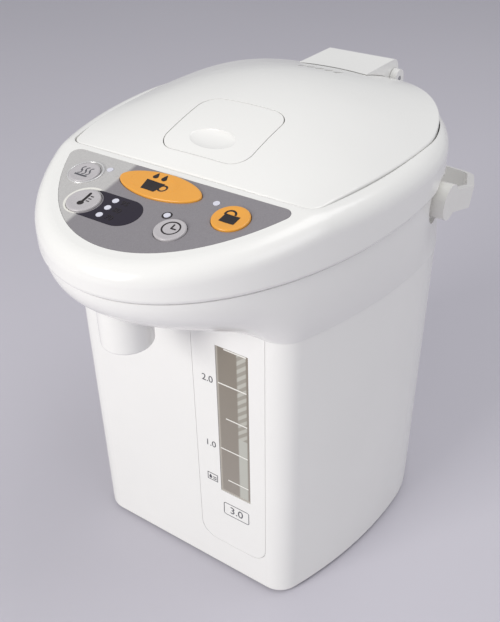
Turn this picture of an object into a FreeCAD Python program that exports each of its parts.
import FreeCAD, Part
import math
import os
from FreeCAD import Vector, Placement, Rotation

# Electric thermo pot of about three litres: a tall casing with a flat front, an overhanging head with a
# sloped control deck and a spout under its nose, a hinged lid with a press lever, and a carrying bail.
# Millimetres, +Z up, the front faces -Y. The pieces are drawn about the casing's centre, and save() moves
# them back by frame_shift, so that the origin lies on the floor under the middle of the whole pot's box.

# Casing
casing_half_width = 104.0
casing_front = 110.0
casing_back = 110.0
widest_y = 13.0
side_radius = 291.0
front_corner_radius = 17.0
back_corner_radius = 75.0
wall = 2.6
casing_bottom = 2.0
casing_top = 214.0

# Base
base_thickness = 3.0
base_gap = 0.3
foot_height = 4.0
foot_radius = 8.0
foot_x = 58.0
foot_front_y = -78.0
foot_rear_y = 72.0

# Head: half width, reach to the front and reach to the back, from head_y
head_y = -7.0
head_half_width = 108.0
head_front = 168.0
head_back = 120.0
part_line_z = 262.0
part_line_slope = 0.03
top_z = 289.5
seam_gap = 0.3
rim_radius = 11.0
rim_low_radius = 3.0
chamber_inset = 8.0
tub_inset = 5.2
belly_inset = 2.0
belly_fullness = 2.3
shoulder = 0.4

# Control deck, a plane that falls towards the nose
deck_y = -91.0
deck_slope = 0.1714
deck_blend = 4.0
deck_height = top_z
deck_angle = math.degrees(math.atan(deck_slope))

# Lid
lid_y = 10.0
lid_half_width = 96.5
lid_front_reach = 191.0
lid_back = 96.0
lid_corner_radius = 8.0
lid_gap = 0.8
lid_crown = 21.5
lid_skirt_z = 270.0
tray_floor_z = 264.0

# Vessel: half a litre stands 26.5 mm high in it
vessel_y = 10.0
vessel_radius = 77.5
vessel_wall = 1.0
vessel_floor_z = 63.3
vessel_rim_z = 240.0
vessel_corner = 14.0
flange_radius = 88.0
mouth_radius = 85.5

# Water gauge and its panel
panel_left = 13.0
panel_right = 64.5
panel_low = 27.0
panel_depth = 1.5
panel_gap = 0.25
panel_ledge = 6.0
window_left = 30.2
window_right = 53.3
window_low = 77.9
window_high = 197.0
gauge_x = 47.5
gauge_y = -97.5
gauge_radius = 4.5
gauge_bore = 3.3

# Spout
spout_y = -148.0
spout_radius = 15.0
spout_low = 212.0
spout_high = 238.0
spout_bore = 5.0

# Control panel, in deck coordinates: x across, v up the slope from deck_y
overlay_depth = 1.0
overlay_rear = -5.0
overlay_inset = 14.5
overlay_corner = 5.0
button_travel = 1.2
button_rise = 1.2
button_gap = 0.35
button_depth = 9.7
board_depth = 15.5
board_thickness = 1.6

# Carrying bail
pivot_y = 20.0
pivot_z = 254.0
pivot_radius = 5.0
pivot_clearance = 0.05
boss_radius = 11.0
recess_radius = 15.0
recess_x = 100.5
bail_inner_x = 107.6
bail_thickness = 4.8
bail_reach = 112.8
bail_straight = 40.0
bail_lean = math.radians(18.0)
bail_bow = math.radians(20.0)
bail_band = 14.0
bail_droop = 18.0
bail_corner = 20.0

# Lid hinge
hinge_y = 116.0
hinge_z = 286.0
hinge_pin_radius = 2.5
knuckle_radius = 8.5
hinge_half_width = 25.5
ear_inner_x = 25.9
ear_outer_x = 30.5
notch_z = 273.0
hinge_rear = 124.0

# Lid lever
lever_front = -78.0
lever_back = -27.0
lever_half_width = 29.0
lever_corner = 11.0
lever_gap = 0.6
lever_thickness = 3.0
lever_skirt_z = 288.0
lever_pivot_z = 294.0
lever_pin_radius = 1.6
lever_pivot_y = -60.0
latch_travel = 4.0
latch_half_width = 8.0
latch_low = 278.0
latch_high = 282.0
latch_length = 8.5

# Half of what the nose stands out further than the bail
bail_rear = pivot_y + (bail_reach + bail_thickness) * math.cos(math.radians(bail_droop)) \
    + bail_band / 2 * math.sin(math.radians(bail_droop))
frame_shift = (head_front - head_y - bail_rear) / 2

ORIGIN = Vector(0, 0, 0)
UP = Vector(0, 0, 1)
RIGHT = Vector(1, 0, 0)
BACK = Vector(0, 1, 0)


def save(name, shape):
    """Writes one piece, after checking that it is made of closed solids."""
    shape = shape.removeSplitter() if shape.ShapeType != "Compound" else shape
    solids = shape.Solids
    body = solids[0] if len(solids) == 1 else Part.makeCompound(solids)
    body.translate(Vector(0, frame_shift, 0))
    body.exportStep(f"parts/{name}.step")
    print(f"{name:20s} solids {len(solids):2d} volume {body.Volume / 1000:8.2f} cm3 valid {body.isValid()}")


def box(x0, x1, y0, y1, z0, z1):
    return Part.makeBox(x1 - x0, y1 - y0, z1 - z0, Vector(x0, y0, z0))


def rod(radius, x, y, z0, z1):
    return Part.makeCylinder(radius, z1 - z0, Vector(x, y, z0), UP)


def rod_x(radius, x0, x1, y, z):
    return Part.makeCylinder(radius, x1 - x0, Vector(x0, y, z), RIGHT)


def ring(outer, inner, x, y, z0, z1):
    return rod(outer, x, y, z0, z1).cut(rod(inner, x, y, z0 - 1, z1 + 1))


def prism(face, z0, z1):
    """Stands a plan face, drawn at z = 0, between two heights."""
    moved = face.copy()
    moved.translate(Vector(0, 0, z0))
    return moved.extrude(Vector(0, 0, z1 - z0))


def rounded_rectangle(x0, x1, y0, y1, radius):
    """Plan face of a rectangle with round corners."""
    block = box(x0, x1, y0, y1, 0, 1)
    edges = [e for e in block.Edges if abs(e.tangentAt(e.FirstParameter).z) > 0.9]
    low = [f for f in block.makeFillet(radius, edges).Faces if f.CenterOfMass.z < 0.001]
    return low[0]


def arc_between(centre, radius, start, end, middle_angle):
    middle = centre + Vector(radius * math.cos(middle_angle), radius * math.sin(middle_angle), 0)
    return Part.Arc(start, middle, end).toShape()


def casing_plan(inset):
    """Plan face of the casing: a flat front, tight corners, bowed sides and a round back, all of arcs."""
    front = -(casing_front - inset)
    corner = front_corner_radius - inset
    side_centre = Vector(casing_half_width - side_radius, widest_y, 0)
    side = side_radius - inset
    corner_y = front + corner
    corner_x = side_centre.x + math.sqrt((side - corner) ** 2 - (corner_y - widest_y) ** 2)
    corner_centre = Vector(corner_x, corner_y, 0)
    outward = (corner_centre - side_centre).normalize()
    corner_end = side_centre + outward * side
    back_corner_centre = Vector(casing_half_width - back_corner_radius, widest_y, 0)
    rise = casing_back - widest_y
    back_radius = (rise ** 2 + back_corner_centre.x ** 2 - back_corner_radius ** 2) / (2 * (rise - back_corner_radius))
    back_centre = Vector(0, casing_back - back_radius, 0)
    lean = (back_corner_centre - back_centre).normalize()
    back_corner = back_corner_radius - inset
    back_arc = back_radius - inset
    joint = back_corner_centre + lean * back_corner
    widest = Vector(casing_half_width - inset, widest_y, 0)
    nose = Vector(corner_x, front, 0)
    mirrored = lambda p: Vector(-p.x, p.y, p.z)
    corner_mid = math.atan2(outward.y, outward.x) / 2 - math.pi / 4
    side_mid = math.atan2(outward.y, outward.x) / 2
    back_mid = math.atan2(lean.y, lean.x) / 2
    right = [
        arc_between(corner_centre, corner, nose, corner_end, corner_mid),
        arc_between(side_centre, side, corner_end, widest, side_mid),
        arc_between(back_corner_centre, back_corner, widest, joint, back_mid),
    ]
    back = Part.Arc(joint, back_centre + Vector(0, back_arc, 0), mirrored(joint)).toShape()
    left = [edge.mirror(ORIGIN, RIGHT) for edge in reversed(right)]
    front_line = Part.makeLine(mirrored(nose), nose)
    return Part.Face(Part.Wire(Part.__sortEdges__([front_line] + right + [back] + left)))


def oval(half_width, front, back, squareness=2.0, centre_y=0.0, points=24):
    """Closed curve at z = 0, rounder or squarer than an ellipse, with its own reach to the front and back."""
    power = 2.0 / squareness
    curve = []
    for i in range(points):
        angle = 2 * math.pi * i / points
        across, along = math.sin(angle), math.cos(angle)
        reach = front if along > 0 else back
        x = half_width * math.copysign(abs(across) ** power, across)
        y = centre_y - reach * math.copysign(abs(along) ** power, along)
        curve.append(Vector(x, y, 0))
    return closed_curve(curve)


def closed_curve(curve):
    count = len(curve)
    spline = Part.BSplineCurve()
    spline.interpolate(Points=curve, PeriodicFlag=True, Parameters=[i / count for i in range(count + 1)])
    return Part.Wire(spline.toShape())


def egg_plan(inset):
    """Plan face of the head: a long half ellipse to the nose and a short one to the back."""
    half = head_half_width - inset
    halves = []
    for side, reach in ((-1, head_front - inset), (1, head_back - inset)):
        tip = Vector(0, head_y + side * reach, 0)
        ellipse = Part.Ellipse(tip, Vector(-side * half, head_y, 0), Vector(0, head_y, 0))
        halves.append(Part.ArcOfEllipse(ellipse, -math.pi / 2, math.pi / 2).toShape())
    return Part.Face(Part.Wire(Part.__sortEdges__(halves)))


def part_line(y):
    return part_line_z + part_line_slope * y


def middle_of(edge):
    return edge.valueAt((edge.FirstParameter + edge.LastParameter) / 2)


def upper_head():
    """The head's upper form: the egg between the part line and the top surface, with a rolled rim."""
    form = prism(egg_plan(0), part_line_z - 20, top_z + 20).common(top_profile(0)).cut(below_part_line(0))

    def on_rim(edge):
        point = middle_of(edge)
        reach = head_front if point.y < head_y else head_back
        level = (point.x / head_half_width) ** 2 + ((point.y - head_y) / reach) ** 2
        upright = abs(edge.tangentAt(edge.FirstParameter).z) > 0.9
        return abs(level - 1) < 0.01 and not upright and abs(point.z - part_line(point.y)) > 0.5

    form = form.makeFillet(rim_radius, [edge for edge in form.Edges if on_rim(edge)])
    low = [edge for edge in form.Edges if abs(middle_of(edge).z - part_line(middle_of(edge).y)) < 0.05]
    return form.makeFillet(rim_low_radius, low)


def top_profile(inset):
    """Everything below the head's top: flat over the lid, then an arc down to the sloped deck."""
    level = top_z - inset
    blend = deck_blend
    far = 200.0
    turn = Vector(0, deck_y, level)
    slope_end = Vector(0, deck_y - far, level - far * deck_slope)
    down = Vector(0, -math.cos(math.radians(deck_angle)), -math.sin(math.radians(deck_angle)))
    start = Vector(0, deck_y + blend, level)
    end = turn + down * blend
    middle = (start + end) * 0.25 + turn * 0.5
    edges = [
        Part.makeLine(Vector(0, far, level), start),
        Part.Arc(start, middle, end).toShape(),
        Part.makeLine(end, slope_end),
        Part.makeLine(slope_end, Vector(0, slope_end.y, 0)),
        Part.makeLine(Vector(0, slope_end.y, 0), Vector(0, far, 0)),
        Part.makeLine(Vector(0, far, 0), Vector(0, far, level)),
    ]
    face = Part.Face(Part.Wire(edges))
    face.translate(Vector(-far, 0, 0))
    return face.extrude(Vector(2 * far, 0, 0))


def lower_head(inset):
    """The head's lower form: it starts on the casing's outline and swells out to the egg under the rim."""
    base = casing_plan(inset - shoulder).OuterWire.discretize(Number=97)[:-1]
    half = head_half_width - belly_inset - inset
    centre = Vector(0, head_y, 0)
    sections = []
    for share in (0.0, 0.14, 0.32, 0.55, 0.78, 1.0):
        swell = 1 - (1 - share) ** belly_fullness
        curve = []
        for start in base:
            way = start - centre
            reach = (head_front if way.y < 0 else head_back) - belly_inset - inset
            rim = centre + way * (1 / math.hypot(way.x / half, way.y / reach))
            point = start + (rim - start) * swell
            point.z = casing_top + (part_line(rim.y) - casing_top) * share
            curve.append(point)
        sections.append(closed_curve(curve))
    return Part.makeLoft(sections, True, False)


def below_part_line(margin):
    """Half space below the part line, as a wedge that is moved down by margin."""
    far = 250.0
    high = lambda y: part_line(y) - margin
    points = [Vector(-far, -far, 0), Vector(-far, far, 0), Vector(-far, far, high(far)), Vector(-far, -far, high(-far))]
    face = Part.Face(Part.makePolygon(points + points[:1]))
    return face.extrude(Vector(2 * far, 0, 0))


def lid_plan(offset):
    """Plan face of the lid: an oval cut straight across the front, with round front corners."""
    outline = oval(lid_half_width + offset, lid_front_reach + offset, lid_back + offset, 2.0, lid_y, 32)
    whole = prism(Part.Face(outline), 0, 1)
    trimmed = whole.common(box(-150, 150, deck_y - offset, 200, 0, 1))
    corners = [e for e in trimmed.Edges if len(e.Vertexes) == 2 and e.BoundBox.ZLength > 0.9
               and abs(e.CenterOfMass.y - (deck_y - offset)) < 0.5]
    rounded = trimmed.makeFillet(lid_corner_radius + offset, corners)
    return [f for f in rounded.Faces if f.BoundBox.ZLength < 0.01 and f.CenterOfMass.z < 0.01][0]


def crown(offset):
    """Everything below the lid's crowned top: two parabolas, one across and one along."""
    half = lid_half_width + 3.0
    front, back = deck_y - 3.0, lid_y + lid_back + 3.0
    middle = (front + back) / 2
    low = top_z - 1.0 - offset
    surface = Part.BezierSurface()
    surface.increase(2, 2)
    for i, x in enumerate((-half, 0.0, half)):
        for j, y in enumerate((front, middle, back)):
            lift = 4 * lid_crown if i == 1 and j == 1 else 0.0
            surface.setPole(i + 1, j + 1, Vector(x, y, low + lift))
    return surface.toShape().extrude(Vector(0, 0, -60))


def on_deck(shape, depth=0.0):
    """Moves a piece from deck coordinates to the head: x stays, y runs up the slope, z stands square to it."""
    moved = shape.copy()
    moved.Placement = Placement(Vector(0, deck_y, deck_height), Rotation(RIGHT, deck_angle)).multiply(
        Placement(Vector(0, 0, -depth), Rotation())).multiply(moved.Placement)
    return moved


def up_slope(y):
    """Deck coordinate of a place on the deck that lies at y."""
    return (y - deck_y) / math.cos(math.radians(deck_angle))


def overlay_plan(offset):
    """The grey panel's outline in deck coordinates: the head's egg, drawn in and cut across."""
    steep = math.cos(math.radians(deck_angle))
    outline = oval(head_half_width - overlay_inset + offset, (head_front - overlay_inset) / steep + offset,
                   head_back, 2.0, up_slope(head_y), 28)
    whole = prism(Part.Face(outline), 0, 1)
    trimmed = whole.common(box(-150, 150, -150, overlay_rear + offset, 0, 1))
    corners = [e for e in trimmed.Edges if len(e.Vertexes) == 2 and e.BoundBox.ZLength > 0.9]
    rounded = trimmed.makeFillet(max(overlay_corner + offset, 1.5), corners)
    return [f for f in rounded.Faces if f.BoundBox.ZLength < 0.01 and f.CenterOfMass.z < 0.01][0]


def oval_plan(half_x, half_y, x, v, squareness=2.0):
    face = Part.Face(oval(half_x, half_y, half_y, squareness))
    face.translate(Vector(x, v, 0))
    return face


# name, x, y on the deck, half width, half height, squareness of the outline
buttons = [
    ("dispense_button", -3.0, -107.5, 27.0, 11.0, 1.85),
    ("unlock_button", 48.0, -115.0, 10.2, 10.2, 2.0),
    ("reboil_button", -51.0, -114.5, 9.0, 9.0, 2.0),
    ("temperature_button", -33.0, -135.0, 9.6, 9.6, 2.0),
    ("timer_button", 25.5, -135.5, 8.6, 8.6, 2.0),
]

# x and y of each lamp on the deck
lamps = [(-17.0, -127.6), (-17.0, -134.0), (-17.0, -140.6), (16.2, -126.0), (33.6, -107.0), (-39.6, -106.0)]
lamp_radius = 1.9

# the display's pill shape: left and right end, middle and half height
display_left = -31.0
display_right = 4.0
display_y = -134.3
display_half = 11.0

board_posts = [(-58.0, -104.0), (60.0, -104.0), (-20.0, -150.0), (20.0, -150.0)]
post_radius = 3.2
screw_radius = 1.3


def display_plan(offset):
    v = up_slope(display_y)
    half = display_half + offset
    face = rounded_rectangle(display_left - half + 3, display_right + 0.0 + offset, v - half, v + half, half - 0.01)
    key = oval_plan(9.6 + 1.2 - offset, 9.6 + 1.2 - offset, -33.0, up_slope(-135.0))
    return prism(face, 0, 1).cut(prism(key, -1, 2))


def button_cap(half_x, half_y, x, v, squareness):
    """A moulded key: a dished cap, a hollow skirt, a retaining flange and a stem over its switch."""
    cap = prism(oval_plan(half_x, half_y, x, v, squareness), -5.5, button_rise)
    top = [e for e in cap.Edges if abs(e.BoundBox.ZMax - button_rise) < 0.01 and e.BoundBox.ZLength < 0.01]
    cap = cap.makeFillet(0.8, top)
    flange = prism(oval_plan(half_x + 1.3, half_y + 1.3, x, v, squareness), -6.3, -5.0)
    hollow = prism(oval_plan(half_x - 1.8, half_y - 1.8, x, v, squareness), -7, -1.4)
    stem = rod(2.2, x, v, -button_depth, -1.2)
    dish_radius = 60.0
    dish = Part.makeSphere(dish_radius, Vector(x, v, button_rise - 0.5 + dish_radius))
    return cap.fuse(flange).cut(hollow).fuse(stem).cut(dish)


def tube(points, outer, inner, bend):
    """A hose along straight runs that are joined by tangent arcs."""
    def sweep(radius):
        edges = []
        start = points[0]
        for i in range(1, len(points) - 1):
            before = (points[i - 1] - points[i]).normalize()
            after = (points[i + 1] - points[i]).normalize()
            half = (math.pi - before.getAngle(after)) / 2
            back_off = bend * math.tan(half)
            a = points[i] + before * back_off
            b = points[i] + after * back_off
            towards = (before + after).normalize()
            middle = points[i] + towards * (bend / math.cos(half) - bend)
            edges.append(Part.makeLine(start, a))
            edges.append(Part.Arc(a, middle, b).toShape())
            start = b
        edges.append(Part.makeLine(start, points[-1]))
        path = Part.Wire(edges)
        direction = (points[1] - points[0]).normalize()
        circle = Part.Wire(Part.makeCircle(radius, points[0], direction))
        return path.makePipeShell([circle], True, False)
    return sweep(outer).cut(sweep(inner))


def feet_places():
    return [(x, y) for x in (-foot_x, foot_x) for y in (foot_front_y, foot_rear_y)]


screw_places = [(-70.0, -40.0), (70.0, -40.0), (-62.0, 45.0), (62.0, 45.0)]
post_top = 30.0
inlet_z = 38.0
inlet_half_width = 19.0
inlet_half_height = 13.0
inlet_depth = 16.0
base_floor = foot_height


def make_casing():
    """Outer casing with the recess and the opening for the gauge panel, and the inlet's opening at the back."""
    outer = prism(casing_plan(0), casing_bottom, casing_top)
    low = [e for e in outer.Edges if e.BoundBox.ZMax < casing_bottom + 0.01]
    outer = outer.makeFillet(1.6, low)
    shell = outer.cut(prism(casing_plan(wall), casing_bottom - 1, casing_top + 1))
    face = -casing_front
    panel = rounded_rectangle(panel_left - panel_gap, panel_right + panel_gap, panel_low - panel_gap, 400, 12)
    panel = panel.copy()
    panel.rotate(ORIGIN, RIGHT, 90)
    recess = panel.extrude(Vector(0, panel_depth + panel_gap, 0))
    recess.translate(Vector(0, face, 0))
    opening = box(window_left - panel_ledge, window_right + panel_ledge, face - 1, face + wall + 1,
                  window_low - panel_ledge, window_high + panel_ledge)
    inlet = box(-inlet_half_width, inlet_half_width, 90, casing_back + 5, inlet_z - inlet_half_height,
                inlet_z + inlet_half_height)
    boss = None
    for x, y in screw_places:
        post = ring(5.0, 1.2, x, y, base_floor + base_thickness + base_gap, post_top)
        arm_end = casing_half_width if x > 0 else -casing_half_width
        web = box(min(x, arm_end), max(x, arm_end), y - 1.2, y + 1.2, base_floor + base_thickness + base_gap, post_top)
        web = web.cut(rod(4.5, x, y, 0, 50)).common(prism(casing_plan(1.0), 0, 60))
        both = post.fuse(web)
        boss = both if boss is None else boss.fuse(both)
    return shell.cut(recess).cut(opening).cut(inlet).fuse(boss)


def make_base_plate():
    plate = prism(casing_plan(wall + base_gap), base_floor, base_floor + base_thickness)
    for i in range(7):
        x = -36 + 12 * i
        plate = plate.cut(box(x - 1.5, x + 1.5, 20, 52, base_floor - 1, base_floor + base_thickness + 1))
    for x, y in screw_places:
        plate = plate.cut(rod(1.8, x, y, 0, 20))
        plate = plate.cut(rod(3.4, x, y, 0, base_floor + 1.2))
    rib = prism(casing_plan(9.0), base_floor + base_thickness - 0.5, base_floor + base_thickness + 5)
    rib = rib.cut(prism(casing_plan(10.8), 0, 40))
    for x, y in screw_places:
        rib = rib.cut(rod(7.0, x, y, 0, 40)).cut(box(-150, 150, y - 2.5, y + 2.5, 0, 40))
    rib = rib.cut(box(-30, 30, 80, 120, 0, 40))
    return plate.fuse(rib)


def make_feet():
    feet = []
    for x, y in feet_places():
        foot = rod(foot_radius, x, y, 0, foot_height)
        foot = foot.makeFillet(1.2, [e for e in foot.Edges if e.BoundBox.ZMax < 0.01])
        feet.append(foot)
    return Part.makeCompound(feet)


def make_base_screws():
    screws = []
    for x, y in screw_places:
        head = rod(3.0, x, y, base_floor - 0.6, base_floor + 1.2)
        screws.append(head.fuse(rod(1.15, x, y, base_floor, base_floor + 16)))
    return Part.makeCompound(screws)


def make_gauge_panel():
    face = -casing_front
    plan = rounded_rectangle(panel_left, panel_right, panel_low, 400, 12).copy()
    plan.rotate(ORIGIN, RIGHT, 90)
    plate = plan.extrude(Vector(0, panel_depth, 0))
    plate.translate(Vector(0, face, 0))
    plate = plate.common(box(0, 100, -200, 0, 0, casing_top - seam_gap))
    collar = box(window_left - 2, window_right + 2, face + panel_depth - 0.2, face + 5, window_low - 2, window_high + 2)
    hole = box(window_left, window_right, face - 1, face + 10, window_low, window_high)
    return plate.fuse(collar).cut(hole)


def make_gauge_window():
    face = -casing_front
    return box(window_left + 0.1, window_right - 0.1, face + 0.5, face + 3.0, window_low + 0.1, window_high - 0.1)


def make_gauge_backing():
    back = gauge_y + gauge_radius + 0.6
    plate = box(window_left - 3, window_right + 3, back, back + 1.6, window_low - 6, window_high + 6)
    for x in (window_left - 3, window_right + 1.4):
        plate = plate.fuse(box(x, x + 1.6, -casing_front + 5.3, back + 0.5, window_low - 6, window_high + 6))
    return plate


gauge_bottom = 66.0
gauge_top = 208.0
elbow_length = 10.0
pump_x = 30.0
pump_y = -34.0
pump_low = 40.0
pump_high = 52.0
pump_radius = 21.0
motor_radius = 15.0
motor_low = 10.0
motor_high = 33.0
outlet_z = 46.0


def make_sight_tube():
    return ring(gauge_radius, gauge_bore, gauge_x, gauge_y, gauge_bottom, gauge_top)


def make_supply_hose():
    points = [
        Vector(pump_x + 6, pump_y - pump_radius - 8.3, outlet_z),
        Vector(pump_x + 6, pump_y - pump_radius - 30, outlet_z),
        Vector(gauge_x, gauge_y, outlet_z),
        Vector(gauge_x, gauge_y, gauge_bottom - 0.2),
    ]
    return tube(points, gauge_radius, gauge_bore, 9.0)


def make_outlet_pipe():
    points = [
        Vector(gauge_x, gauge_y, gauge_top + 0.2),
        Vector(gauge_x, gauge_y, 232.0),
        Vector(0, spout_y, 250.0),
        Vector(0, spout_y, spout_high + 0.2),
    ]
    return tube(points, gauge_radius, gauge_bore, 6.0)


def make_spout():
    outer = rod(spout_radius, 0, spout_y, spout_low, spout_high)
    outer = outer.makeFillet(2.0, [e for e in outer.Edges if e.BoundBox.ZMax < spout_low + 0.01])
    shell = outer.cut(rod(spout_radius - 2.2, 0, spout_y, spout_low - 1, spout_high - 4))
    nozzle = rod(spout_bore + 2, 0, spout_y, spout_low + 2, spout_high - 3)
    return shell.fuse(nozzle).cut(rod(spout_bore, 0, spout_y, spout_low - 1, spout_high - 2)).cut(
        rod(gauge_bore, 0, spout_y, spout_low, spout_high + 1))


def recess_pad(margin=0.0):
    pads = []
    for side in (-1, 1):
        x0, x1 = sorted((side * (recess_x - wall - margin), side * head_half_width))
        pads.append(rod_x(recess_radius + wall + margin, x0, x1, pivot_y, pivot_z))
    return pads[0].fuse(pads[1])


def recess_cut():
    cuts = []
    for side in (-1, 1):
        x0, x1 = sorted((side * recess_x, side * (head_half_width + 20)))
        cuts.append(rod_x(recess_radius, x0, x1, pivot_y, pivot_z))
    return cuts[0].fuse(cuts[1])


def make_head_lower(outer, pads):
    """Lower head moulding: the nose's belly, the flare round the casing and the seats of the bail's pivots."""
    inner = lower_head(wall)
    inner = inner.common(box(-200, 200, -300, 200, casing_top + wall, 400))
    shell = outer.cut(inner).cut(prism(casing_plan(wall + 4), casing_top - 5, casing_top + 20))
    shell = shell.fuse(pads.common(outer)).common(below_part_line(seam_gap))
    shell = shell.cut(recess_cut()).cut(rod(spout_radius + 0.3, 0, spout_y, spout_low - 5, spout_high + 5))
    stub = rod_x(pivot_radius + 2, -recess_x, -recess_x + wall + 8, pivot_y, pivot_z)
    stub = stub.fuse(stub.mirror(ORIGIN, RIGHT))
    shell = shell.fuse(stub)
    seat = rod_x(pivot_radius, -120, 120, pivot_y, pivot_z)
    return shell.cut(seat)


def make_head_upper(outer, pads):
    """Upper head moulding: the rim, the control deck, the lid's tray and the mouth over the vessel."""
    chamber = prism(egg_plan(chamber_inset), part_line_z - 20, top_z).common(top_profile(wall))
    chamber = chamber.common(box(-200, 200, -300, deck_y - lid_gap - wall, 0, 400))
    tub = prism(lid_plan(lid_gap + wall), tray_floor_z - wall, tray_floor_z + 12)
    tub = tub.common(prism(egg_plan(tub_inset), 0, 400)).cut(recess_pad(seam_gap))
    shell = outer.cut(chamber).cut(prism(lid_plan(-2.0), part_line_z - 20, tray_floor_z - wall)).fuse(tub)
    shell = shell.cut(prism(lid_plan(lid_gap), tray_floor_z, top_z + 30))
    shell = shell.cut(rod(mouth_radius, 0, vessel_y, 200, 300))
    shell = shell.fuse(pads.common(outer).cut(below_part_line(0))).cut(recess_cut())
    posts = None
    for x, y in board_posts:
        post = rod(post_radius, x, up_slope(y), -board_depth + 0.2, -overlay_depth - 1.5)
        posts = post if posts is None else posts.fuse(post)
    shell = shell.fuse(on_deck(posts))
    for x, y in board_posts:
        shell = shell.cut(on_deck(rod(screw_radius - 0.1, x, up_slope(y), -board_depth, -6)))
    shell = shell.cut(on_deck(prism(overlay_plan(0.2), -overlay_depth - 0.2, 10)))
    for name, x, y, half_x, half_y, squareness in buttons:
        hole = prism(oval_plan(half_x + button_gap, half_y + button_gap, x, up_slope(y), squareness), -12, 5)
        room = prism(oval_plan(half_x + 1.8, half_y + 1.8, x, up_slope(y), squareness), -12, -4.6)
        shell = shell.cut(on_deck(hole.fuse(room)))
    for x, y in lamps:
        shell = shell.cut(on_deck(rod(lamp_radius + 0.15, x, up_slope(y), -8, 5)))
    notch = box(-ear_outer_x - 0.4, ear_outer_x + 0.4, 103, 140, notch_z, 320)
    shell = shell.cut(notch)
    slot = box(-latch_half_width - 1, latch_half_width + 1, deck_y - lid_gap - wall - 1, deck_y,
               latch_low - 0.5, latch_high + 0.5)
    return shell.cut(slot)


def make_overlay():
    plate = prism(overlay_plan(0), -overlay_depth, 0)
    for name, x, y, half_x, half_y, squareness in buttons:
        hole = prism(oval_plan(half_x + button_gap, half_y + button_gap, x, up_slope(y), squareness), -12, 5)
        plate = plate.cut(hole)
    for x, y in lamps:
        plate = plate.cut(rod(lamp_radius + 0.1, x, up_slope(y), -8, 5))
    pill = display_plan(0.15)
    pill.translate(Vector(0, 0, -0.55))
    return on_deck(plate.cut(pill), 0.0)


def make_display():
    pill = display_plan(0.0)
    pill = pill.common(box(-100, 100, -200, 100, 0, 0.6))
    pill.translate(Vector(0, 0, -0.5))
    for x, y in lamps:
        pill = pill.cut(rod(lamp_radius + 0.1, x, up_slope(y), -8, 5))
    return on_deck(pill)


def make_lamps():
    return Part.makeCompound([on_deck(rod(lamp_radius, x, up_slope(y), -5.0, 0.25)) for x, y in lamps])


def make_control_board():
    plate = prism(overlay_plan(-9.0), -board_depth - board_thickness, -board_depth)
    for x, y in board_posts:
        plate = plate.cut(rod(1.6, x, up_slope(y), -30, 0))
    return on_deck(plate)


def make_switches():
    stack = []
    for name, x, y, half_x, half_y, squareness in buttons:
        v = up_slope(y)
        body = box(x - 3, x + 3, v - 3, v + 3, -board_depth, -board_depth + 3.4)
        body = body.fuse(rod(1.7, x, v, -board_depth + 3, -button_depth - button_travel - 0.3))
        stack.append(on_deck(body))
    return Part.makeCompound(stack)


def make_board_screws():
    screws = []
    for x, y in board_posts:
        v = up_slope(y)
        low = -board_depth - board_thickness
        head = rod(2.6, x, v, low - 1.8, low)
        screws.append(on_deck(head.fuse(rod(screw_radius - 0.1, x, v, low - 0.5, low + 9))))
    return Part.makeCompound(screws)


def make_vessel():
    """Inner vessel: a drawn steel pot with a rounded floor corner, a suction hole and a rolled flange."""
    inner, outer = vessel_radius, vessel_radius + vessel_wall
    floor = vessel_floor_z

    def profile(radius, low, corner):
        a = Vector(0, 0, low)
        b = Vector(radius - corner, 0, low)
        c = Vector(radius, 0, low + corner)
        turn = Vector(radius - corner + corner * math.sin(math.pi / 4), 0,
                      low + corner - corner * math.cos(math.pi / 4))
        top = Vector(radius, 0, vessel_rim_z)
        edges = [Part.makeLine(a, b), Part.Arc(b, turn, c).toShape(), Part.makeLine(c, top),
                 Part.makeLine(top, Vector(0, 0, vessel_rim_z)), Part.makeLine(Vector(0, 0, vessel_rim_z), a)]
        return Part.Face(Part.Wire(edges)).revolve(ORIGIN, UP, 360)

    pot = profile(outer, floor - vessel_wall, vessel_corner + vessel_wall)
    pot = pot.fuse(rod(flange_radius, 0, 0, vessel_rim_z - 1.2, vessel_rim_z))
    pot = pot.cut(profile(inner, floor, vessel_corner).fuse(rod(inner, 0, 0, vessel_rim_z - 5, vessel_rim_z + 5)))
    pot.translate(Vector(0, vessel_y, 0))
    return pot.cut(rod(5.0, pump_x, pump_y, floor - 5, floor + 5))


def make_collar():
    """Plastic collar between the vessel's flange and the head's tray."""
    low, high = vessel_rim_z + 0.2, tray_floor_z - wall - 0.2
    collar = ring(mouth_radius + 2.4, mouth_radius, 0, vessel_y, low, high)
    skirt = ring(flange_radius + 2.5, flange_radius + 0.3, 0, vessel_y, vessel_rim_z - 6, low + 2)
    top = ring(flange_radius + 2.5, mouth_radius, 0, vessel_y, low, low + 2)
    return collar.fuse(skirt).fuse(top)


def make_heater_band():
    band = ring(vessel_radius + vessel_wall + 2.1, vessel_radius + vessel_wall + 0.3, 0, vessel_y, 84, 116)
    lug = box(-9, 9, vessel_y + vessel_radius, vessel_y + vessel_radius + 9, 92, 108)
    lug = lug.cut(rod(vessel_radius + vessel_wall + 1, 0, vessel_y, 80, 120)).cut(box(-1, 1, 80, 120, 80, 120))
    return band.fuse(lug).cut(box(-1, 1, 80, 120, 80, 120))


def make_sensor():
    low = vessel_floor_z - vessel_wall
    body = rod(9, -25, vessel_y, low - 7, low - 0.3)
    return body.fuse(rod(5, -25, vessel_y, low - 16, low - 6))


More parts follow.
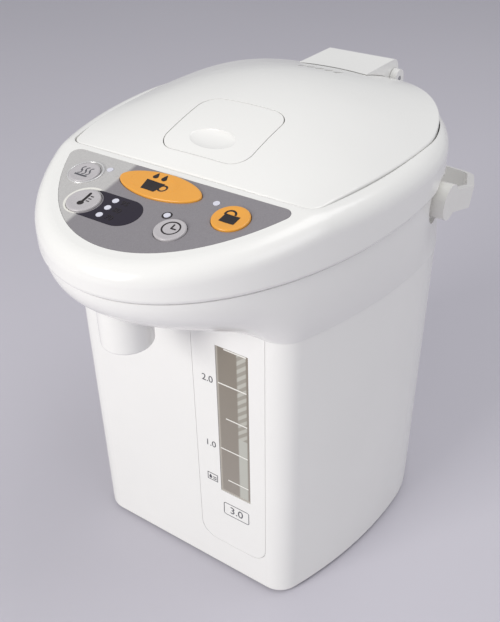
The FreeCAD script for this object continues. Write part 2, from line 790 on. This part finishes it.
def make_heat_shield():
    """Sheet tray under the vessel, which carries the pump and the sensor, on four legs from the base."""
    z = 36.5
    tray = rod(80, 0, vessel_y, z, z + 1.5)
    lip = ring(80, 78.6, 0, vessel_y, z, z + 10)
    tray = tray.fuse(lip)
    for angle in (50, 130, 200, 340):
        x = 68 * math.cos(math.radians(angle))
        y = vessel_y + 68 * math.sin(math.radians(angle))
        tray = tray.fuse(rod(4, x, y, base_floor + base_thickness + 0.3, z + 1))
    for angle in (0, 120, 240):
        x = 60 * math.cos(math.radians(angle))
        y = vessel_y + 60 * math.sin(math.radians(angle))
        tray = tray.fuse(rod(3.5, x, y, z, vessel_floor_z - vessel_wall - 0.3))
    tray = tray.fuse(rod(6, -25, vessel_y, z, vessel_floor_z - vessel_wall - 16.3))
    tray = tray.cut(rod(motor_radius + 2, pump_x, pump_y, 0, 60))
    low = vessel_y - 80
    return tray.cut(box(pump_x - 4, pump_x + 16, low - 5, pump_y, z + 2, 60))


def make_pump_housing():
    """Pump volute with its suction neck up to the vessel and its delivery stub to the front."""
    body = rod(pump_radius, pump_x, pump_y, pump_low, pump_high)
    neck_top = vessel_floor_z - vessel_wall - 0.3
    stub = Part.makeCylinder(gauge_radius, pump_radius + 8, Vector(pump_x + 6, pump_y, outlet_z), Vector(0, -1, 0))
    bore = Part.makeCylinder(gauge_bore, pump_radius + 9, Vector(pump_x + 6, pump_y, outlet_z), Vector(0, -1, 0))
    body = body.fuse(rod(8, pump_x, pump_y, pump_high - 1, neck_top)).fuse(stub)
    flange = rod(pump_radius + 3, pump_x, pump_y, pump_low - 1.8, pump_low + 1)
    body = body.fuse(flange)
    body = body.cut(rod(pump_radius - 2.2, pump_x, pump_y, pump_low + 1.5, pump_high - 2)).cut(bore)
    return body.cut(rod(5, pump_x, pump_y, pump_high - 3, neck_top + 1))


impeller_low = pump_low + 2.4
shaft_radius = 1.5


def make_impeller():
    """Closed pump wheel with seven swept vanes on a hub."""
    disc = rod(16, pump_x, pump_y, impeller_low, impeller_low + 1.4)
    wheel = disc.fuse(rod(4.2, pump_x, pump_y, impeller_low, impeller_low + 5.5))
    for i in range(7):
        vane = box(3.5, 15.6, -0.6, 0.6, impeller_low + 1.0, impeller_low + 5.2)
        vane.rotate(ORIGIN, UP, 24)
        vane.translate(Vector(0, -1.6, 0))
        vane.rotate(ORIGIN, UP, 360 / 7 * i)
        vane.translate(Vector(pump_x, pump_y, 0))
        wheel = wheel.fuse(vane.common(rod(16, pump_x, pump_y, 0, 100)))
    return wheel.cut(rod(1.6, pump_x, pump_y, impeller_low - 1, impeller_low + 4.0))


def make_motor():
    can = rod(motor_radius, pump_x, pump_y, motor_low, motor_high)
    can = can.makeFillet(1.5, [e for e in can.Edges if e.BoundBox.ZMax < motor_low + 0.01])
    can = can.fuse(rod(5, pump_x, pump_y, motor_low - 2.7, motor_low + 1))
    can = can.cut(rod(shaft_radius + 0.05, pump_x, pump_y, motor_low + 4, motor_high + 1))
    return can


def make_drive_magnet():
    """Motor shaft with the magnet disc that turns the pump wheel through the housing's floor."""
    shaft = rod(shaft_radius, pump_x, pump_y, motor_low + 4.3, motor_high + 3)
    disc = rod(13, pump_x, pump_y, motor_high + 1.2, motor_high + 4.2)
    return shaft.fuse(disc)


def make_filter():
    """Mesh strainer over the suction hole in the vessel's floor."""
    cap = rod(11, pump_x, pump_y, vessel_floor_z + 0.3, vessel_floor_z + 5)
    cap = cap.cut(rod(10.2, pump_x, pump_y, vessel_floor_z - 1, vessel_floor_z + 4.2))
    for i in range(-3, 4):
        half = math.sqrt(9.0 ** 2 - (i * 2.6) ** 2)
        cap = cap.cut(box(pump_x - half, pump_x + half, pump_y + i * 2.6 - 0.6, pump_y + i * 2.6 + 0.6,
                          vessel_floor_z + 3, vessel_floor_z + 6))
    return cap


def make_power_board():
    z = base_floor + base_thickness + 5.0
    board = box(-58, -14, -68, -22, z, z + 1.6)
    for x in (-54, -18):
        for y in (-64, -26):
            board = board.fuse(rod(3, x, y, base_floor + base_thickness + 0.2, z + 0.5))
    board = board.fuse(box(-52, -36, -58, -38, z + 1.4, z + 16)).fuse(box(-30, -20, -54, -36, z + 1.4, z + 12))
    return board


def make_inlet():
    """Power inlet: a recessed magnetic socket at the back, with its frame standing in the casing's opening."""
    gap = 0.25
    y_out = casing_back + 0.4
    frame = box(-inlet_half_width + gap, inlet_half_width - gap, casing_back - inlet_depth, y_out,
                inlet_z - inlet_half_height + gap, inlet_z + inlet_half_height - gap)
    edges = [e for e in frame.Edges if abs(e.tangentAt(e.FirstParameter).y) > 0.9]
    frame = frame.makeFillet(2.0, edges)
    pocket = box(-inlet_half_width + 2.5, inlet_half_width - 2.5, casing_back - inlet_depth + 5, y_out + 1,
                 inlet_z - inlet_half_height + 2.5, inlet_z + inlet_half_height - 2.5)
    edges = [e for e in pocket.Edges if abs(e.tangentAt(e.FirstParameter).y) > 0.9]
    frame = frame.cut(pocket.makeFillet(3.0, edges))
    leg = box(-10, 10, casing_back - inlet_depth + 1, casing_back - inlet_depth + 4,
              base_floor + base_thickness + 0.2, inlet_z - inlet_half_height + 1)
    frame = frame.fuse(leg)
    for x in (-7.5, 7.5):
        frame = frame.cut(Part.makeCylinder(2.4, 20, Vector(x, casing_back - inlet_depth + 1.5, inlet_z), BACK))
    return frame


def make_inlet_pins():
    pins = []
    for x in (-7.5, 7.5):
        pin = Part.makeCylinder(2.1, 8.0, Vector(x, casing_back - inlet_depth + 1.8, inlet_z), BACK)
        pins.append(pin.makeFillet(0.8, [e for e in pin.Edges if e.BoundBox.YMin > casing_back - 9]))
    return Part.makeCompound(pins)


def lever_plan(offset):
    return rounded_rectangle(-lever_half_width - offset, lever_half_width + offset, lever_front - offset,
                             lever_back + offset, lever_corner + offset)


vent_y = 57.0
vent_pitch = 6.6
well_floor_z = 279.0


def vent_slots():
    slots = None
    for i in range(5):
        x = (i - 2) * vent_pitch
        slot = rounded_rectangle(-1.7, 1.7, -3.6, 3.6, 1.2)
        slot = prism(slot, 262, 330)
        slot.rotate(ORIGIN, UP, -28)
        slot.translate(Vector(x, vent_y, 0))
        slots = slot if slots is None else slots.fuse(slot)
    return slots


def make_lid_cover():
    """Outer lid: crowned skin with a turned-down edge, the lever's well, the vents and the hinge end."""
    solid = prism(lid_plan(0), lid_skirt_z, top_z + 30).common(crown(0))
    top = [e for e in solid.Edges if e.BoundBox.ZMax > top_z - 6 and e.BoundBox.ZMin > top_z - 6]
    try_round = solid.makeFillet(1.2, top)
    if try_round.isValid() and len(try_round.Solids) == 1:
        solid = try_round
    hollow = prism(lid_plan(-wall), lid_skirt_z - 1, top_z + 30).common(crown(wall))
    well_block = prism(lever_plan(lever_gap + 2.0), well_floor_z - 2, top_z + 30)
    shell = solid.cut(hollow.cut(well_block))
    shell = shell.cut(prism(lever_plan(lever_gap), well_floor_z, top_z + 40))
    shell = shell.cut(vent_slots())
    posts = rod(4, -60, 20, lid_skirt_z + 0.3, 330).fuse(rod(4, 60, 20, lid_skirt_z + 0.3, 330))
    shell = shell.fuse(posts.common(crown(1.0)))
    guide = box(-latch_half_width - 3, latch_half_width + 3, deck_y + 1, deck_y + 8.5, latch_low - 3, latch_high + 3)
    shell = shell.fuse(guide)
    margin = 0.25
    shell = shell.cut(box(-latch_half_width - margin, latch_half_width + margin, deck_y - 5, deck_y + 20,
                          latch_low - margin, latch_high + margin))
    shell = shell.cut(rod_x(lever_pin_radius + 0.05, -lever_half_width - 2.2, lever_half_width + 2.2,
                            lever_pivot_y, lever_pivot_z))
    hinge_gap = box(-26, 26, 103.0, 140, 260, 320)
    return shell.cut(hinge_gap)


def make_lid_base():
    """Inner lid: a plate under the cover and a tapered plug that reaches into the vessel's mouth."""
    plate = prism(lid_plan(-0.2), lid_skirt_z - 3.0, lid_skirt_z - 0.3)
    plug = Part.makeCone(74.0, 80.5, lid_skirt_z - 250.0, Vector(0, vessel_y, 248.0), UP)
    hollow = Part.makeCone(71.5, 78.0, lid_skirt_z - 250.0, Vector(0, vessel_y, 250.4), UP)
    body = plate.fuse(plug.common(rod(200, 0, 0, 240, lid_skirt_z - 2))).cut(hollow)
    return body.cut(rod(8.5, 0, vent_y - 20, 240, 262)).cut(box(-30, 30, 103, 120, 250, 280))


def make_inner_plate():
    """Steel plate that closes the plug and faces the water, dished at its middle, with steam holes."""
    disc = rod(73.0, 0, vessel_y, 245.4, 247.7)
    for i in range(6):
        angle = math.radians(60 * i)
        disc = disc.cut(rod(1.8, 5 * math.cos(angle), vent_y - 20 + 5 * math.sin(angle), 240, 250))
    return disc


def make_gasket():
    lip = ring(81.0, 74.6, 0, vessel_y, 241.6, 243.6)
    wall_ring = ring(76.6, 74.6, 0, vessel_y, 241.6, 247.6)
    return lip.fuse(wall_ring)


def make_steam_valve():
    """Valve body in the steam way between the plug and the vents."""
    body = ring(8.2, 3.0, 0, vent_y - 20, 248.3, 261.5)
    return body.fuse(ring(10.5, 3.0, 0, vent_y - 20, 250.8, 253.0))


def make_hinge_cover():
    """Raised hinge end of the lid: a wedge that rises over the rim, with the knuckle bore across it."""
    half = hinge_half_width
    at = lambda y, z: Vector(-half, y, z)
    round_off = 9.0
    slant = round_off * (1 - math.sqrt(0.5))
    top, low = hinge_z + 13.4, hinge_z - knuckle_radius
    front_y = lid_back - 22
    edges = [
        Part.makeLine(at(front_y, top + 1.2), at(hinge_rear - round_off, top)),
        Part.Arc(at(hinge_rear - round_off, top), at(hinge_rear - slant, top - slant),
                 at(hinge_rear, top - round_off)).toShape(),
        Part.makeLine(at(hinge_rear, top - round_off), at(hinge_rear, hinge_z)),
        Part.Arc(at(hinge_rear, hinge_z), at(hinge_y, low), at(hinge_y - 7.5, hinge_z - 4)).toShape(),
        Part.makeLine(at(hinge_y - 7.5, hinge_z - 4), at(103.4, 282)),
        Part.makeLine(at(103.4, 282), at(103.4, 287)),
        Part.makeLine(at(103.4, 287), at(front_y, 296)),
        Part.makeLine(at(front_y, 296), at(front_y, top + 1.2)),
    ]
    wedge = Part.Face(Part.Wire(edges)).extrude(Vector(2 * half, 0, 0))
    wedge = wedge.cut(crown(-0.3).common(box(-40, 40, 40, 103.2, 200, 330)))
    return wedge.cut(rod_x(hinge_pin_radius + 0.05, -40, 40, hinge_y, hinge_z))


def make_hinge_bracket():
    """Bracket on the head's back rim, with an ear at each side of the lid's knuckle."""
    ears = None
    for side in (-1, 1):
        x0, x1 = sorted((side * ear_inner_x, side * ear_outer_x))
        ear = rod_x(7.0, x0, x1, hinge_y, hinge_z)
        ear = ear.fuse(box(x0, x1, hinge_y - 7, hinge_y + 7, notch_z + seam_gap, hinge_z))
        ears = ear if ears is None else ears.fuse(ear)
    ears = ears.fuse(box(-ear_outer_x, ear_outer_x, hinge_y - 8, hinge_y + 2, notch_z + seam_gap, hinge_z - 11.1))
    return ears.cut(rod_x(hinge_pin_radius + 0.05, -40, 40, hinge_y, hinge_z))


def make_hinge_pin():
    return rod_x(hinge_pin_radius, -30.3, 30.3, hinge_y, hinge_z)


def make_lid_lever():
    """Press lever in the lid's top: a crowned plate with a thumb dish, rocking on its pin."""
    plate = prism(lever_plan(0), lever_skirt_z, top_z + 40).common(crown(0.1))
    hollow = prism(lever_plan(-2.2), well_floor_z, top_z + 40).common(crown(lever_thickness + 0.1))
    plate = plate.cut(hollow)
    dish = Part.makeSphere(30, Vector(0, 0, 0))
    squash = FreeCAD.Matrix()
    squash.scale(15.5 / 30, 9.0 / 30, 2.2 / 30)
    dish = dish.transformGeometry(squash)
    dish.rotate(ORIGIN, RIGHT, 12)
    dish.translate(Vector(0, lever_front + 13.5, crown_height(lever_front + 13.5) + 0.3))
    plate = plate.cut(dish)
    hub = rod_x(3.2, -lever_half_width + 1, lever_half_width - 1, lever_pivot_y, lever_pivot_z)
    plate = plate.fuse(hub.common(prism(lever_plan(-1.0), 200, 400)))
    return plate.cut(rod_x(lever_pin_radius + 0.05, -60, 60, lever_pivot_y, lever_pivot_z))


def make_lever_pin():
    return rod_x(lever_pin_radius, -lever_half_width - 2, lever_half_width + 2, lever_pivot_y, lever_pivot_z)


def crown_height(y):
    """Height of the lid's crown above the middle of its width."""
    front, back = deck_y - 3.0, lid_y + lid_back + 3.0
    middle, half = (front + back) / 2, (back - front) / 2
    return top_z - 1.0 + lid_crown * (1 - ((y - middle) / half) ** 2)


def make_latch_bolt():
    """Sliding bolt that holds the lid's front edge under the rim."""
    front = deck_y - lid_gap - 2.2
    bar = box(-latch_half_width, latch_half_width, front, front + latch_length, latch_low, latch_high)
    nose = [e for e in bar.Edges if abs(e.CenterOfMass.y - front) < 0.01 and abs(e.CenterOfMass.z - latch_high) > 1]
    nose = [e for e in nose if abs(e.CenterOfMass.z - latch_low) < 0.01]
    return bar.makeChamfer(1.2, nose)


def make_bail():
    """Carrying bail, drawn flat with its arms to the back and then drooped about the pivots."""
    outer_x = bail_inner_x + bail_thickness
    half = bail_band / 2
    mirrored = lambda p: Vector(-p.x, p.y, p.z)

    def right_half(offset):
        """One arm, its round corner, and the point where the bowed crossbar starts."""
        corner, reach = bail_corner + offset, bail_reach + offset
        tip = Vector(bail_inner_x + offset, -2, 0)
        bend = Vector(tip.x, bail_straight, 0)
        lean, bow = math.tan(bail_lean), math.tan(bail_bow / 2)
        rise = corner * (math.sin(bail_lean) - math.cos(bail_bow))
        run = corner * (math.cos(bail_lean) - math.sin(bail_bow))
        end_x = (tip.x - lean * (reach + rise - bail_straight) - run) / (1 - lean * bow)
        end = Vector(end_x, reach - end_x * bow, 0)
        start = end + Vector(run, rise, 0)
        centre = end - Vector(math.sin(bail_bow), math.cos(bail_bow), 0) * corner
        turn = centre + ((start - centre) + (end - centre)).normalize() * corner
        edges = [Part.makeLine(tip, bend), Part.makeLine(bend, start), Part.Arc(start, turn, end).toShape()]
        return edges, tip, end

    edges = []
    tips = []
    for offset in (0, bail_thickness):
        arm, tip, end = right_half(offset)
        edges += arm + [edge.mirror(ORIGIN, RIGHT) for edge in arm]
        edges.append(Part.Arc(end, Vector(0, bail_reach + offset, 0), mirrored(end)).toShape())
        tips.append(tip)
    edges.append(Part.makeLine(tips[0], tips[1]))
    edges.append(Part.makeLine(mirrored(tips[0]), mirrored(tips[1])))
    face = Part.Face(Part.Wire(Part.__sortEdges__(edges)))
    face.translate(Vector(0, 0, -half))
    bail = face.extrude(Vector(0, 0, bail_band))
    for side in (-1, 1):
        x0, x1 = sorted((side * (recess_x + 0.6), side * outer_x))
        bail = bail.fuse(rod_x(boss_radius, x0, x1, 0, 0))
    bail = bail.cut(rod_x(pivot_radius + pivot_clearance, -outer_x + 1.6, outer_x - 1.6, 0, 0))
    bail.rotate(ORIGIN, RIGHT, -bail_droop)
    bail.translate(Vector(0, pivot_y, pivot_z))
    return bail


def make_pivots():
    pins = []
    for side in (-1, 1):
        end = bail_inner_x + bail_thickness - 2.0
        x0, x1 = sorted((side * (recess_x - wall - 4), side * end))
        pins.append(rod_x(pivot_radius, x0, x1, pivot_y, pivot_z))
    return Part.makeCompound(pins)


def main():
    os.makedirs("parts", exist_ok=True)
    pads = recess_pad()
    save("body_casing", make_casing())
    save("base_plate", make_base_plate())
    save("rubber_feet", make_feet())
    save("base_screws", make_base_screws())
    save("gauge_panel", make_gauge_panel())
    save("gauge_window", make_gauge_window())
    save("gauge_backing", make_gauge_backing())
    save("sight_tube", make_sight_tube())
    save("supply_hose", make_supply_hose())
    save("outlet_pipe", make_outlet_pipe())
    save("spout_nozzle", make_spout())
    save("head_lower", make_head_lower(lower_head(0), pads))
    save("head_upper", make_head_upper(upper_head(), pads))
    save("control_overlay", make_overlay())
    save("display_window", make_display())
    save("lamp_lenses", make_lamps())
    save("control_board", make_control_board())
    save("key_switches", make_switches())
    save("board_screws", make_board_screws())
    for name, x, y, half_x, half_y, squareness in buttons:
        save(name, on_deck(button_cap(half_x, half_y, x, up_slope(y), squareness)))
    save("inner_vessel", make_vessel())
    save("vessel_collar", make_collar())
    save("heater_band", make_heater_band())
    save("temperature_sensor", make_sensor())
    save("vessel_cradle", make_heat_shield())
    save("pump_housing", make_pump_housing())
    save("pump_impeller", make_impeller())
    save("pump_motor", make_motor())
    save("drive_magnet", make_drive_magnet())
    save("suction_strainer", make_filter())
    save("power_board", make_power_board())
    save("power_inlet", make_inlet())
    save("inlet_pins", make_inlet_pins())
    save("lid_cover", make_lid_cover())
    save("lid_base", make_lid_base())
    save("inner_lid_plate", make_inner_plate())
    save("lid_gasket", make_gasket())
    save("steam_valve", make_steam_valve())
    save("hinge_cover", make_hinge_cover())
    save("hinge_bracket", make_hinge_bracket())
    save("hinge_pin", make_hinge_pin())
    save("lid_lever", make_lid_lever())
    save("lever_pin", make_lever_pin())
    save("latch_bolt", make_latch_bolt())
    save("carrying_bail", make_bail())
    save("bail_pivots", make_pivots())


main()
